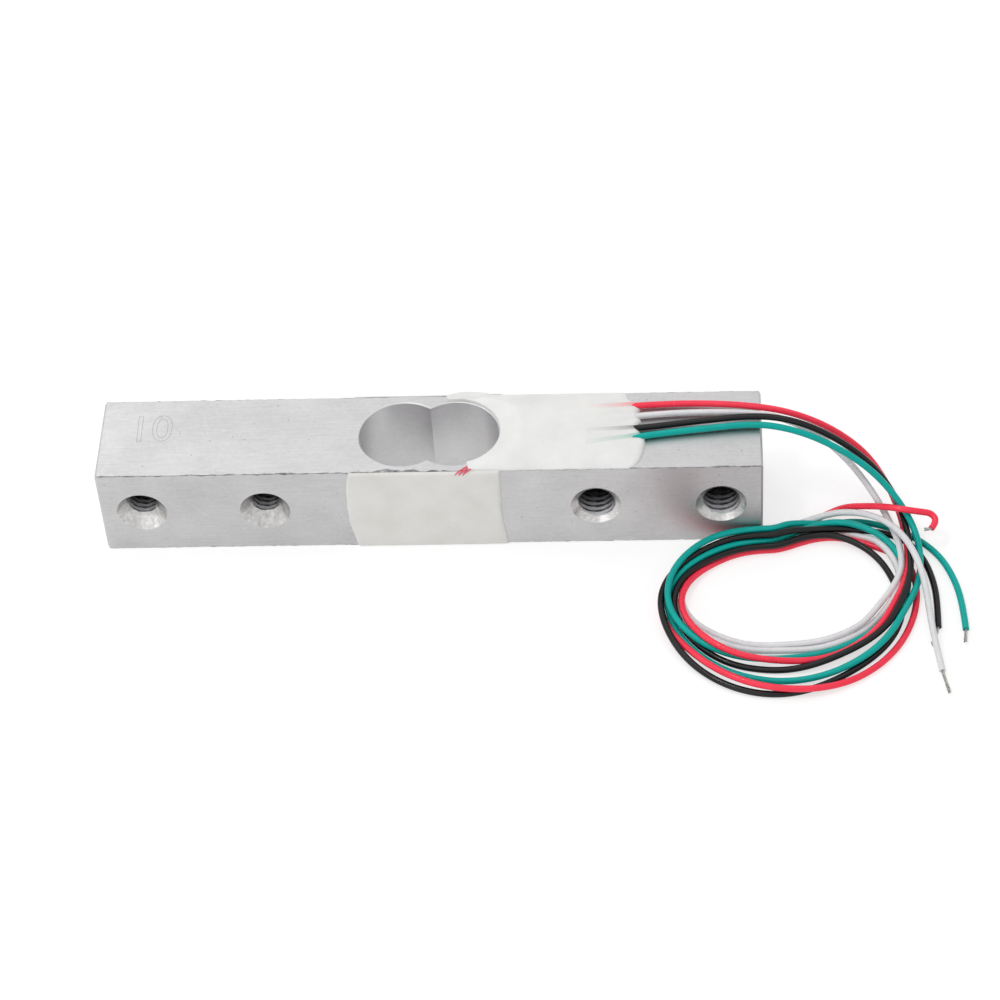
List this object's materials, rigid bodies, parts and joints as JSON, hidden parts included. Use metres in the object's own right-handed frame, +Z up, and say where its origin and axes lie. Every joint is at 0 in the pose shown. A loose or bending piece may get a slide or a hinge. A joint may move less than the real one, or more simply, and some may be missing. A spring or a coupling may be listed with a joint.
{
  "type": "single point load cell",
  "caption": "Square aluminium bar with a double bore that bends under load, strain gauges under white sealant, tapped screw holes at both ends and thin coloured lead wires coiled beside it.",
  "frame": {"origin": "centre of the underside of the bar, which lies on its side", "axes": "+X along the bar towards the lead wires, Y across the bar along the screw holes and the load, +Z up along the double bore"},
  "size_m": [0.1038, 0.0386, 0.0141],
  "materials": {
    "bar_aluminium": "machined, fine brushed sides and sawn ends",
    "silicone_sealant": "cured translucent white silicone, satin",
    "polyimide_film": "amber film",
    "gauge_foil": "etched copper-nickel foil",
    "solder": "bright solder beads",
    "enamelled_copper": "copper wire under red enamel",
    "board_laminate": "glass laminate under solder mask",
    "copper_pads": "copper foil pads",
    "tinned_copper": "tinned copper strands",
    "coil_insulation": "four colours of soft wire insulation, coiled together",
    "red_insulation": "soft glossy insulation",
    "white_insulation": "soft glossy insulation",
    "black_insulation": "soft glossy insulation",
    "green_insulation": "soft glossy insulation"
  },
  "bodies": {
    "root": {"beam": "bar_aluminium", "black_lead": "black_insulation", "black_solder_joint": "solder", "black_tail": "black_insulation", "black_tip": "tinned_copper", "front_gauge_link": "enamelled_copper", "front_gauge_sealant": "silicone_sealant", "front_gauge_solder": "solder", "front_left_gauge_carrier": "polyimide_film", "front_left_gauge_foil": "gauge_foil", "front_left_jumper_wire": "enamelled_copper", "front_middle_jumper_wire": "enamelled_copper", "front_right_gauge_carrier": "polyimide_film", "front_right_gauge_foil": "gauge_foil", "front_right_jumper_wire": "enamelled_copper", "green_lead": "green_insulation", "green_solder_joint": "solder", "green_tail": "green_insulation", "green_tip": "tinned_copper", "jumper_solder": "solder", "rear_gauge_link": "enamelled_copper", "rear_gauge_sealant": "silicone_sealant", "rear_gauge_solder": "solder", "rear_left_gauge_carrier": "polyimide_film", "rear_left_gauge_foil": "gauge_foil", "rear_left_jumper_wire": "enamelled_copper", "rear_middle_jumper_wire": "enamelled_copper", "rear_right_gauge_carrier": "polyimide_film", "rear_right_gauge_foil": "gauge_foil", "rear_right_jumper_wire": "enamelled_copper", "red_lead": "red_insulation", "red_solder_joint": "solder", "red_tail": "red_insulation", "red_tip": "tinned_copper", "stripped_cores": "tinned_copper", "terminal_board": "board_laminate", "terminal_pads": "copper_pads", "terminal_sealant": "silicone_sealant", "white_lead": "white_insulation", "white_solder_joint": "solder", "white_tail": "white_insulation", "white_tip": "tinned_copper", "wire_coil": "coil_insulation"}
  },
  "joints": []
}
